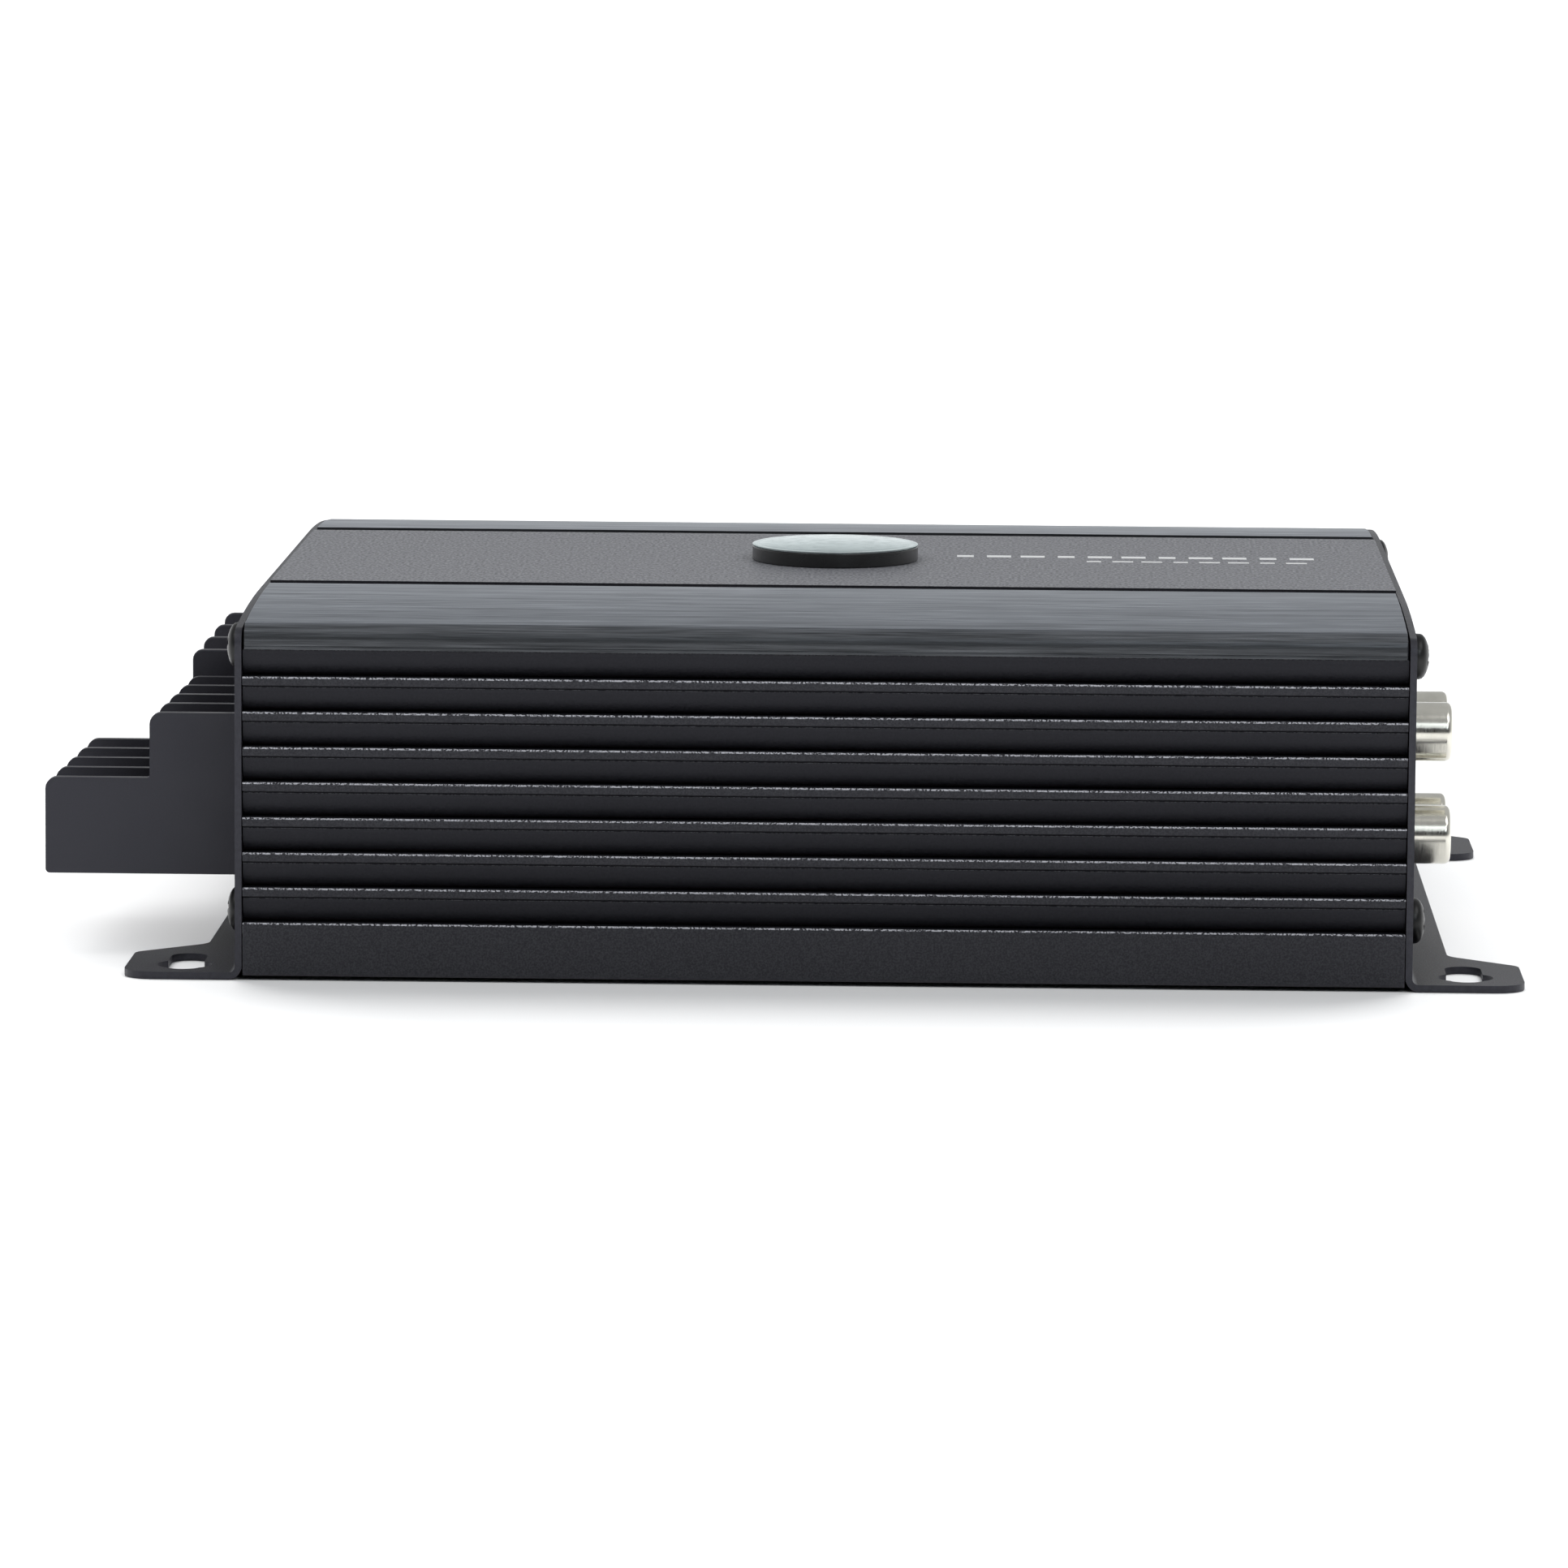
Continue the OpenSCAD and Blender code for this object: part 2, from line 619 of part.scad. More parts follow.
module front_fuse_blades() { color([0.7, 0.7, 0.72]) fuse_blades(fuse_s - fuse_pitch / 2); }

module rear_fuse_blades() { color([0.7, 0.7, 0.72]) fuse_blades(fuse_s + fuse_pitch / 2); }

// Input jacks ----------------------------------------------------------------------

jack_tip = plate_x + jack_reach;
jack_back = 76.5;
shoulder_r = jack_r + 0.3;
shoulder_end = plate_x - 0.1 - jack_back;
shell_in = 3.3;
lip_r = 0.85;
contact_r = 1.95;
contact_bore = 1.6;

// Children at each jack of one row, or of both rows
module at_jacks(rows) {
    for (s = [0, jack_pitch_y]) for (row = rows)
        translate([0, front + jack_s + s, jack_low_z + row * jack_pitch_z]) rotate([0, 90, 0]) children();
}

module jack_housing() {
    margin = 7;
    color([0.08, 0.08, 0.08]) difference() {
        span([control_x, half_w - fit_gap], [jack_s - margin, jack_s + jack_pitch_y + margin],
            [board_top, jack_low_z + jack_pitch_z + 6.4]);
        at_jacks([0, 1]) translate([0, 0, jack_back]) cylinder(h = 10, r = shoulder_r);
    }
}

module jack_shells() {
    reach = jack_tip - jack_back;
    color([0.78, 0.76, 0.7]) at_jacks([0, 1]) translate([0, 0, jack_back]) difference() {
        rotate_extrude() polygon(concat([[0, 0], [shoulder_r, 0], [shoulder_r, shoulder_end],
            [jack_r, shoulder_end]],
            [for (a = [0:15:90]) [jack_r - lip_r + lip_r * cos(a), reach - lip_r + lip_r * sin(a)]],
            [[0, reach]]));
        translate([0, 0, -1]) cylinder(h = 30, r = shell_in);
    }
}

module jack_insulator() {
    translate([0, 0, jack_back]) difference() {
        cylinder(h = jack_tip - jack_back - 0.6, r = shell_in);
        translate([0, 0, -1]) cylinder(h = 30, r = contact_r);
    }
}

module jack_insulators_white() { color([0.9, 0.9, 0.88]) at_jacks([1]) jack_insulator(); }

module jack_insulators_red() { color([0.7, 0.08, 0.08]) at_jacks([0]) jack_insulator(); }

module jack_contacts() {
    color([0.8, 0.75, 0.55]) at_jacks([0, 1]) translate([0, 0, jack_back]) difference() {
        cylinder(h = jack_tip - jack_back - 1, r = contact_r);
        translate([0, 0, 1.2]) cylinder(h = 30, r = contact_bore);
    }
}

// Controls ---------------------------------------------------------------------------

pot_size = [8.4, 9.6, 9.6];
collar_x = 70.9;

module potentiometer_bodies() {
    color([0.15, 0.25, 0.55]) for (s = pot_s) difference() {
        span([control_x, control_x + pot_size[0]], [s - pot_size[1] / 2, s + pot_size[1] / 2],
            [control_z - pot_size[2] / 2, control_z + pot_size[2] / 2]);
        rod_x(collar_x - 0.4, control_x + 20, s, control_z, shaft_r + 0.06);
    }
}

// Shaft with a screwdriver slot, flush with the end plate
module control_shaft(s) {
    difference() {
        rod_x(collar_x, plate_x - 0.1, s, control_z, shaft_r);
        span([plate_x - 1.1, plate_x], [s - 0.5, s + 0.5], [control_z - 4, control_z + 4]);
    }
}

module front_gain_shaft() { color([0.8, 0.8, 0.78]) control_shaft(pot_s[0]); }

module front_crossover_shaft() { color([0.8, 0.8, 0.78]) control_shaft(pot_s[1]); }

module rear_gain_shaft() { color([0.8, 0.8, 0.78]) control_shaft(pot_s[2]); }

module rear_crossover_shaft() { color([0.8, 0.8, 0.78]) control_shaft(pot_s[3]); }

module slide_switch_bodies() {
    color([0.6, 0.6, 0.62]) for (s = slider_s) difference() {
        span([control_x, half_w - fit_gap], [s - 6, s + 6], [switch_z - 3.2, switch_z + 3.2]);
        span([control_x + 1, half_w + 1], [s - 4, s + 4], [switch_z - 1.3, switch_z + 1.3]);
    }
}

module slider(s) {
    span([plate_x - 0.2 - slider_size[0], plate_x - 0.2], [s - slider_size[1] / 2, s + slider_size[1] / 2],
        [switch_z - slider_size[2] / 2, switch_z + slider_size[2] / 2]);
}

module front_filter_slider() { color([0.05, 0.05, 0.05]) slider(slider_s[0]); }

module rear_filter_slider() { color([0.05, 0.05, 0.05]) slider(slider_s[1]); }

module input_mode_slider() { color([0.05, 0.05, 0.05]) slider(slider_s[2] - 1.5); }

// Round-nosed lamp on the control board
module led(s) {
    rod_x(control_x, control_x + 1, s, control_z, 1.9);
    rod_x(control_x, plate_x - 1.2, s, control_z, 1.5);
    translate([plate_x - 1.2, front + s, control_z]) sphere(r = 1.5);
}

module power_led() { color([0.2, 0.8, 0.3]) led(led_s[0]); }

module protect_led() { color([0.85, 0.15, 0.1]) led(led_s[1]); }

// Boards and what stands on them -------------------------------------------------------

module control_board() {
    color([0.05, 0.3, 0.15]) span([control_x - board_t, control_x], [board_s + 3, 140], [board_top, 37]);
}

module main_board() {
    color([0.05, 0.3, 0.15]) difference() {
        span(board_x, [board_s, body_d - board_s], [board_z, board_top]);
        for (p = mount_rows) rod_z(p[0], p[1], 0, 20, screw_hole_r);
    }
}

module board_standoffs() {
    color([0.72, 0.6, 0.3]) for (p = mount_rows) difference() {
        union() {
            translate([p[0], front + p[1], cover_t]) cylinder(h = board_z - cover_t, r = 2.8, $fn = 6);
            rod_z(p[0], p[1], 0, cover_t + 1, 1.8);
        }
        rod_z(p[0], p[1], 2, 20, thread_r);
    }
}

module board_screws() {
    color([0.7, 0.7, 0.72]) for (p = mount_rows)
        translate([p[0], front + p[1], board_top]) pan_screw(2.7, 1.8, thread_r, 5);
}

// Ring core and its turns, standing on the main board
ring_gap = 0.15;

module ring_core(x, s, r_out, r_in, wire, h) {
    translate([x, front + s, board_top + wire + ring_gap]) difference() {
        cylinder(h = h, r = r_out);
        translate([0, 0, -1]) cylinder(h = h + 2, r = r_in);
    }
}

module ring_turns(x, s, r_out, r_in, wire, h, count, width) {
    hole = [r_out - r_in + 2 * ring_gap, h + 2 * ring_gap];
    translate([x, front + s, board_top]) for (k = [0:count - 1]) rotate(360 * k / count) difference() {
        translate([r_in - ring_gap - wire, -width / 2, 0])
            cube([hole[0] + 2 * wire, width, hole[1] + 2 * wire]);
        translate([r_in - ring_gap, -width, wire]) cube([hole[0], 2 * width, hole[1]]);
    }
}

module transformer_core() { color([0.25, 0.25, 0.27]) ring_core(-8, 82.5, 22, 12, 1.6, 16); }

module transformer_winding() {
    color([0.7, 0.35, 0.15]) ring_turns(-8, 82.5, 22, 12, 1.6, 16, 18, 3);
}

module choke_core() { color([0.6, 0.55, 0.2]) ring_core(-52, 82.5, 9, 5, 1.2, 9); }

module choke_winding() { color([0.7, 0.35, 0.15]) ring_turns(-52, 82.5, 9, 5, 1.2, 9, 9, 1.8); }

module capacitor(x, s, r, h) {
    translate([x, front + s, board_top]) rotate_extrude() polygon([[0, 0], [r, 0], [r, 1.6],
        [r - 0.4, 2], [r - 0.4, 2.4], [r, 2.8], [r, h - 0.6], [r - 0.6, h], [r - 1.6, h],
        [r - 1.8, h - 0.3], [0, h - 0.3]]);
}

module supply_capacitors() {
    color([0.15, 0.15, 0.35]) for (s = [46, 64, 101, 119]) capacitor(-52, s, 7.8, 30);
}

module rail_capacitors() {
    color([0.1, 0.1, 0.12]) for (s = [44, 64, 101, 121]) capacitor(30, s, 9, 34);
}

module signal_chips() {
    color([0.07, 0.07, 0.08]) for (s = [36, 52, 68, 97, 113, 129])
        span([51, 58], [s - 5, s + 5], [board_top, board_top + 3]);
}

// Output stage clamped to the heat-spreading flanges -----------------------------------

// Children repeated on the rear side, mirrored
module both_sides() {
    children();
    mirror([0, 1, 0]) children();
}

module transistor_row() {
    s0 = spreader_s + spreader_t + pad_t;
    for (k = [0:package_n - 1]) {
        x = (k - (package_n - 1) / 2) * package_pitch;
        span([x - package[0] / 2, x + package[0] / 2], [s0, s0 + package[1]],
            [package_z, package_z + package[2]]);
        for (leg = [-2.5, 0, 2.5])
            span([x + leg - 0.4, x + leg + 0.4], [s0 + 2, s0 + 2.8], [board_top, package_z + eps]);
    }
}

module front_transistors() { color([0.06, 0.06, 0.06]) transistor_row(); }

module rear_transistors() { color([0.06, 0.06, 0.06]) mirror([0, 1, 0]) transistor_row(); }

module insulating_pads() {
    s0 = spreader_s + spreader_t;
    color([0.6, 0.62, 0.65]) both_sides() difference() {
        span([-52, 52], [s0, s0 + pad_t], [package_z - 1, package_z + package[2] + 1]);
        for (x = clamp_screw_x) translate([x, front + s0 + 2, clamp_screw_z]) rotate([90, 0, 0])
            cylinder(h = 4, r = clamp_screw_r + 0.2);
    }
}

module clamp_bar() {
    s0 = spreader_s + spreader_t + pad_t + package[1];
    difference() {
        span([-52, 52], [s0, s0 + clamp_t], clamp_z);
        for (x = clamp_screw_x) translate([x, front + s0 + clamp_t + 1, clamp_screw_z])
            rotate([90, 0, 0]) cylinder(h = clamp_t + 2, r = clamp_screw_r + 0.2);
    }
}

module front_clamp_bar() { color([0.7, 0.7, 0.72]) clamp_bar(); }

module rear_clamp_bar() { color([0.7, 0.7, 0.72]) mirror([0, 1, 0]) clamp_bar(); }

module clamp_screws() {
    s0 = spreader_s + spreader_t + pad_t + package[1] + clamp_t;
    color([0.3, 0.3, 0.32]) both_sides() for (x = clamp_screw_x)
        translate([x, front + s0, clamp_screw_z]) rotate([-90, 0, 0])
            pan_screw(2.3, 1.5, clamp_screw_r, clamp_t + package[1] + pad_t + spreader_t);
}

heatsink_body();
front_trim();
rear_trim();
badge_base();
badge_face();
bottom_cover();
bottom_cover_screws();
left_end_plate();
right_end_plate();
left_plate_screws();
right_plate_screws();
speaker_terminal_block();
speaker_terminal_clamps();
speaker_terminal_screws();
power_terminal_block();
power_terminal_clamps();
power_terminal_screws();
fuse_holder();
front_fuse_body();
front_fuse_blades();
rear_fuse_body();
rear_fuse_blades();
jack_housing();
jack_shells();
jack_insulators_white();
jack_insulators_red();
jack_contacts();
potentiometer_bodies();
front_gain_shaft();
front_crossover_shaft();
rear_gain_shaft();
rear_crossover_shaft();
slide_switch_bodies();
front_filter_slider();
rear_filter_slider();
input_mode_slider();
power_led();
protect_led();
control_board();
main_board();
board_standoffs();
board_screws();
transformer_core();
transformer_winding();
choke_core();
choke_winding();
supply_capacitors();
rail_capacitors();
signal_chips();
front_transistors();
rear_transistors();
insulating_pads();
front_clamp_bar();
rear_clamp_bar();
clamp_screws();
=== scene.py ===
"""Looks of the car amplifier: materials, bevelled pieces, prints, floor, light and camera."""
import json
import math

import bmesh
import bpy
from mathutils import Matrix, Vector

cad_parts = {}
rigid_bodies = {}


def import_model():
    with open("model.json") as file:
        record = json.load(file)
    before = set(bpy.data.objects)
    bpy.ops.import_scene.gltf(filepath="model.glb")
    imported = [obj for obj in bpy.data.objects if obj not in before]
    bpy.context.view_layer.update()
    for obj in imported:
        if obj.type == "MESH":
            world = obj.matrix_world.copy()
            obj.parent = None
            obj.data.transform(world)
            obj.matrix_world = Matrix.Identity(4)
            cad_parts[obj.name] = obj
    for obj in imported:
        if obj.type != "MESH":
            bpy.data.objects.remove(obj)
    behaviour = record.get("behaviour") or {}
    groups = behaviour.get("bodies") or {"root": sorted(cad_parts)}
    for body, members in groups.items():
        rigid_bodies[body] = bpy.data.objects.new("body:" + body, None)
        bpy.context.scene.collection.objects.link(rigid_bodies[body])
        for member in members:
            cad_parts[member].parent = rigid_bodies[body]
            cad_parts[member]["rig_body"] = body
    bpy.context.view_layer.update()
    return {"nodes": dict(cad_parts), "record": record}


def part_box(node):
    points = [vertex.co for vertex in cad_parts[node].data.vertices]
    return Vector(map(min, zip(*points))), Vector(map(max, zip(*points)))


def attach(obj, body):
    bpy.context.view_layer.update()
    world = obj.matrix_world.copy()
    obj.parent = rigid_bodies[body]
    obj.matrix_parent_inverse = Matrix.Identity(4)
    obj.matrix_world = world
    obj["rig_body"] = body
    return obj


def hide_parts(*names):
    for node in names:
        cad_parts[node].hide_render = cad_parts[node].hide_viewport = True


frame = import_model()

MM = 0.001
SCENE = bpy.context.scene
NODES = frame["nodes"]
SLOT_OF = {part["node"]: part["material_slot"] for part in frame["record"]["subparts"]}


# Materials --------------------------------------------------------------------------


MAP_SOCKETS = ("From Min", "From Max", "To Min", "To Max")


class Surface:
    """A procedural material: one Principled shader and short calls that wire textures into it."""

    def __init__(self, name, color, roughness, metallic=0.0, **more):
        self.material = bpy.data.materials.new(name)
        self.material.use_nodes = True
        self.tree = self.material.node_tree
        self.shader = self.tree.nodes["Principled BSDF"]
        self.shader.inputs["Base Color"].default_value = (*color, 1.0)
        self.shader.inputs["Roughness"].default_value = roughness
        self.shader.inputs["Metallic"].default_value = metallic
        for socket, value in more.items():
            self.shader.inputs[socket.replace("_", " ")].default_value = value
        coordinates = self.node("ShaderNodeTexCoord")
        self.place = coordinates.outputs["Object"]
        self.facing = coordinates.outputs["Normal"]
        self.normal = None

    def node(self, kind, **settings):
        made = self.tree.nodes.new(kind)
        for key, value in settings.items():
            setattr(made, key, value)
        return made

    def link(self, source, target):
        self.tree.links.new(source, target)

    def stretched(self, stretch):
        """Object coordinates, longer along an axis where stretch is more than 1."""
        mapping = self.node("ShaderNodeMapping")
        mapping.inputs["Scale"].default_value = tuple(1.0 / s for s in stretch)
        self.link(self.place, mapping.inputs["Vector"])
        return mapping.outputs["Vector"]

    def noise(self, size, detail=2.0, stretch=(1, 1, 1)):
        """Noise whose features are about size metres across."""
        texture = self.node("ShaderNodeTexNoise")
        texture.inputs["Scale"].default_value = 1.0 / size
        texture.inputs["Detail"].default_value = detail
        self.link(self.stretched(stretch), texture.inputs["Vector"])
        return texture.outputs["Fac"]

    def cells(self, size):
        """Distance to the nearest of scattered points, size metres apart."""
        texture = self.node("ShaderNodeTexVoronoi")
        texture.inputs["Scale"].default_value = 1.0 / size
        self.link(self.place, texture.inputs["Vector"])
        return texture.outputs["Distance"]

    def remap(self, value, low, high, start=0.3, end=0.7):
        """value's range from start to end, spread from low to high."""
        spread = self.node("ShaderNodeMapRange")
        for socket, number in zip(MAP_SOCKETS, (start, end, low, high)):
            spread.inputs[socket].default_value = number
        self.link(value, spread.inputs["Value"])
        return spread.outputs["Result"]

    def axis(self, vector, name):
        """One of a vector's three parts."""
        split = self.node("ShaderNodeSeparateXYZ")
        self.link(vector, split.inputs["Vector"])
        return split.outputs[name]

    def size_of(self, value):
        """The value without its sign."""
        maths = self.node("ShaderNodeMath", operation="ABSOLUTE")
        self.link(value, maths.inputs[0])
        return maths.outputs["Value"]

    def mixed(self, one, two, kind="ADD"):
        """Two values added, or joined by another kind of sum."""
        maths = self.node("ShaderNodeMath", operation=kind)
        self.link(one, maths.inputs[0])
        self.link(two, maths.inputs[1])
        return maths.outputs["Value"]

    def paint(self, value, dark, light):
        """Base colour from dark to light as value goes from 0 to 1."""
        ramp = self.node("ShaderNodeValToRGB")
        ramp.color_ramp.elements[0].color = (*dark, 1.0)
        ramp.color_ramp.elements[1].color = (*light, 1.0)
        self.link(value, ramp.inputs["Fac"])
        self.link(ramp.outputs["Color"], self.shader.inputs["Base Color"])
        return self

    def gloss(self, value):
        """Roughness from the value."""
        self.link(value, self.shader.inputs["Roughness"])
        return self

    def bump(self, value, height, strength=1.0):
        """Bump of that height in metres, on top of any bump added before."""
        bump = self.node("ShaderNodeBump")
        bump.inputs["Strength"].default_value = strength
        bump.inputs["Distance"].default_value = height
        self.link(value, bump.inputs["Height"])
        if self.normal is not None:
            self.link(self.normal, bump.inputs["Normal"])
        self.normal = bump.outputs["Normal"]
        self.link(self.normal, self.shader.inputs["Normal"])
        return self


def grey(value, tint=(1.0, 1.0, 1.0)):
    return tuple(value * t for t in tint)


COOL = (1.0, 0.97, 1.26)
COOL_GLINT = (0.9, 0.91, 1.0, 1.0)
BLUE = (0.95, 1.0, 1.08)
WARM = (1.04, 1.0, 0.92)


def powder_coat():
    """Fine sand-textured coating, with painted shade in the grooves, a painted highlight of pale specks
    along the ribs' upper edges, and painted light on the top panel's upward faces.
    """
    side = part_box("heatsink_body")[1].y
    rim_start, rim_end = 0.34 * MM, 0.22 * MM
    top_start, top_end = 12 * MM, 8 * MM
    s = Surface("powder_coat", grey(0.03, COOL), 0.5, Specular_IOR_Level=0.22, Specular_Tint=COOL_GLINT)
    grain = s.noise(0.32 * MM, 3.0)
    lumps = s.noise(0.6 * MM, 2.0)
    specks = s.noise(0.24 * MM, 1.0)
    grit = s.noise(0.42 * MM, 1.0, (1, 2, 1))
    flecks = s.cells(0.45 * MM)
    up = s.axis(s.facing, "Z")
    across = s.size_of(s.axis(s.place, "Y"))
    rim = s.remap(across, 0.0, 1.0, side - rim_start, side - rim_end)
    top = s.remap(across, 1.0, 0.0, side - top_start, side - top_end)
    # Painted highlight: pale specks on the outermost edges whose faces tilt upwards, where overhead
    # light catches them
    edge = s.mixed(s.remap(up, 0.0, 1.0, 0.1, 0.5), s.remap(up, 1.0, 0.0, 0.9, 0.99), "MULTIPLY")
    painted_edge_highlight = s.mixed(s.mixed(edge, rim, "MULTIPLY"), s.remap(specks, 0.0, 1.5, 0.42, 0.6), "MULTIPLY")
    # Painted light: upward faces of the top panel made paler, as if lit from above
    level = s.mixed(s.remap(up, 0.0, 1.0, 0.75, 0.97), top, "MULTIPLY")
    painted_top_light = s.mixed(level, s.remap(grit, 0.24, 0.6, 0.34, 0.68), "MULTIPLY")
    # Painted shade: only the outermost faces are lifted, so the grooves behind them stay darker
    outer = s.mixed(rim, s.remap(specks, 0.022, 0.055, 0.36, 0.66), "MULTIPLY")
    # The painted highlight, painted top light and painted groove shade join the random grain here
    shade = s.mixed(s.mixed(painted_edge_highlight, painted_top_light), s.mixed(outer, s.remap(grain, 0.0, 0.015, 0.35, 0.75)))
    s.paint(shade, grey(0.009, COOL), (0.47, 0.475, 0.51))
    s.gloss(s.remap(grain, 0.42, 0.62))
    s.bump(lumps, 0.04 * MM, 0.6)
    s.bump(grain, 0.035 * MM, 0.8)
    return s.bump(flecks, 0.02 * MM, 0.5)


def brushed_trim():
    """Grey anodised aluminium, brushed along the casing, with painted light making its upward-facing
    parts paler than its lower curve.
    """
    s = Surface("brushed_trim", grey(0.12, BLUE), 0.33, 0.7)
    s.shader.inputs["Specular Tint"].default_value = (*grey(0.8, BLUE), 1.0)
    fine = s.noise(0.2 * MM, 2.0, (40, 1, 1))
    broad = s.noise(0.5 * MM, 3.0, (55, 1, 1))
    bands = s.noise(2.2 * MM, 3.0, (24, 1, 1))
    coarse = s.mixed(s.remap(broad, 0.0, 0.35), s.remap(bands, 0.0, 0.2))
    streaks = s.mixed(s.remap(fine, 0.0, 0.45), coarse)
    up = s.axis(s.facing, "Z")
    # Painted light and shade: the colour is lighter where the trim faces upward and darker where it
    # curves down
    lit = s.mixed(streaks, s.remap(up, 0.36, 1.0, 0.2, 1.0), "MULTIPLY")
    s.paint(lit, grey(0.014, BLUE), grey(0.27, BLUE))
    s.gloss(s.remap(streaks, 0.42, 0.26, 0.1, 0.9))
    s.bump(bands, 0.03 * MM, 0.5)
    s.bump(broad, 0.025 * MM, 0.6)
    return s.bump(fine, 0.01 * MM, 0.8)


def plate_paint():
    """Satin black paint on steel sheet, with a slight orange peel."""
    s = Surface("plate_paint", grey(0.02), 0.45, Specular_Tint=COOL_GLINT)
    peel = s.noise(0.7 * MM, 2.0)
    grain = s.noise(0.2 * MM, 2.0)
    s.paint(s.remap(peel, 0.0, 1.0), grey(0.014, COOL), grey(0.023, COOL))
    s.gloss(s.remap(grain, 0.4, 0.55))
    s.bump(peel, 0.012 * MM, 0.6)
    return s.bump(grain, 0.008 * MM, 0.6)


def moulded(name, color, grain_size=0.25 * MM, roughness=0.5, height=0.01 * MM, **more):
    """Moulded plastic with a spark-eroded grain and slight colour variation."""
    s = Surface(name, color, roughness, **more)
    grain = s.noise(grain_size, 3.0)
    cloud = s.noise(9 * MM, 2.0)
    shade = s.mixed(s.remap(grain, 0.0, 0.5), s.remap(cloud, 0.0, 0.5))
    s.paint(shade, tuple(c * 0.82 for c in color), tuple(c * 1.15 for c in color))
    s.gloss(s.remap(cloud, roughness - 0.06, roughness + 0.06))
    return s.bump(grain, height, 0.6)


def metal(name, color, roughness, line_size=0.2 * MM, stretch=(1, 1, 1), height=0.002 * MM, **more):
    """Plated or bare metal with fine working marks and cloudy gloss."""
    s = Surface(name, color, roughness, 1.0, **more)
    marks = s.noise(line_size, 3.0, stretch)
    cloud = s.noise(4 * MM, 3.0)
    dull = tuple(c * 0.88 for c in color)
    bright = tuple(min(1.0, c * 1.05) for c in color)
    s.paint(s.remap(cloud, 0.0, 1.0), dull, bright)
    s.gloss(s.remap(marks, max(0.04, roughness - 0.05), roughness + 0.07))
    return s.bump(marks, height, 0.5)


def circuit_board():
    """Green solder mask over copper tracks and ground areas."""
    s = Surface("circuit_board", (0.01, 0.1, 0.04), 0.3)
    tracks = s.noise(3.5 * MM, 0.0, (1, 3, 1))
    s.paint(s.remap(tracks, 0.0, 1.0, 0.49, 0.52), (0.006, 0.07, 0.028), (0.015, 0.14, 0.05))
    return s.bump(s.remap(tracks, 0.0, 1.0, 0.49, 0.52), 0.03 * MM, 0.8)


def lens(name, color):
    """Tinted clear resin with a moulded swirl."""
    s = Surface(name, color, 0.12, Transmission_Weight=0.35, IOR=1.5)
    swirl = s.noise(1.2 * MM, 1.0)
    s.paint(s.remap(swirl, 0.0, 1.0), tuple(c * 0.8 for c in color), color)
    return s.bump(swirl, 0.01 * MM, 0.3)


def build_materials():
    made = {
        "powder_coat": powder_coat(),
        "brushed_trim": brushed_trim(),
        "plate_paint": plate_paint(),
        "badge_chrome": metal("badge_chrome", (0.42, 0.46, 0.46), 0.12, 1.5 * MM,
                              Specular_Tint=(0.69, 0.75, 0.75, 1.0)),
        "badge_black": moulded("badge_black", grey(0.012), 0.5 * MM, 0.25, 0.003 * MM),
        "black_steel": metal("black_steel", grey(0.035), 0.36, 0.15 * MM),
        "terminal_plastic": moulded("terminal_plastic", grey(0.02, COOL), 0.22 * MM, 0.5,
                                    Specular_Tint=COOL_GLINT),
        "nickel": metal("nickel", (0.8, 0.78, 0.7), 0.18, 0.12 * MM, (1, 14, 14), 0.001 * MM),
        "tin_plate": metal("tin_plate", grey(0.6, WARM), 0.26),
        "fuse_plastic": moulded("fuse_plastic", (0.02, 0.26, 0.07), 0.6 * MM, 0.24, 0.004 * MM,
                                Transmission_Weight=0.25),
        "white_plastic": moulded("white_plastic", grey(0.72, WARM), 0.5 * MM, 0.34, 0.004 * MM),
        "red_plastic": moulded("red_plastic", (0.5, 0.018, 0.014), 0.5 * MM, 0.34, 0.004 * MM),
        "knob_plastic": moulded("knob_plastic", grey(0.55, WARM), 0.3 * MM, 0.42, 0.006 * MM),
        "blue_plastic": moulded("blue_plastic", (0.02, 0.06, 0.26), 0.4 * MM, 0.38, 0.005 * MM),
        "brass": metal("brass", (0.76, 0.57, 0.26), 0.22),
        "green_lens": lens("green_lens", (0.06, 0.5, 0.1)),
        "red_lens": lens("red_lens", (0.6, 0.03, 0.02)),
        "circuit_board": circuit_board(),
        "ferrite": moulded("ferrite", grey(0.06), 0.4 * MM, 0.7, 0.02 * MM),
        "copper_wire": metal("copper_wire", (0.66, 0.25, 0.09), 0.28, 0.5 * MM, (1, 1, 6), 0.05 * MM),
        "capacitor_sleeve": moulded("capacitor_sleeve", (0.012, 0.012, 0.045), 1.2 * MM, 0.3,
                                    0.004 * MM),
        "chip_plastic": moulded("chip_plastic", grey(0.022), 0.2 * MM, 0.55, 0.008 * MM),
        "silicone_pad": moulded("silicone_pad", grey(0.4, COOL), 0.3 * MM, 0.75, 0.01 * MM),
        "bare_aluminium": metal("bare_aluminium", grey(0.7), 0.34, 0.2 * MM, (60, 1, 1), 0.004 * MM),
    }
    return {name: surface.material for name, surface in made.items()}


MATERIALS = build_materials()


# Pieces -------------------------------------------------------------------------------


# Degrees between two faces that make an edge a real one
EDGE_ANGLE = 32
# Part of the bevel width that the casing's lesser edges get
LESSER_SHARE = 0.25


def new_piece(name, bm, slot, body):
    """Object from a finished bmesh, with its material, riding on a CAD body."""
    mesh = bpy.data.meshes.new(name)
    bm.to_mesh(mesh)
    bm.free()
    piece = bpy.data.objects.new(name, mesh)
    SCENE.collection.objects.link(piece)
    mesh.materials.append(MATERIALS[slot])
    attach(piece, body)
    return piece


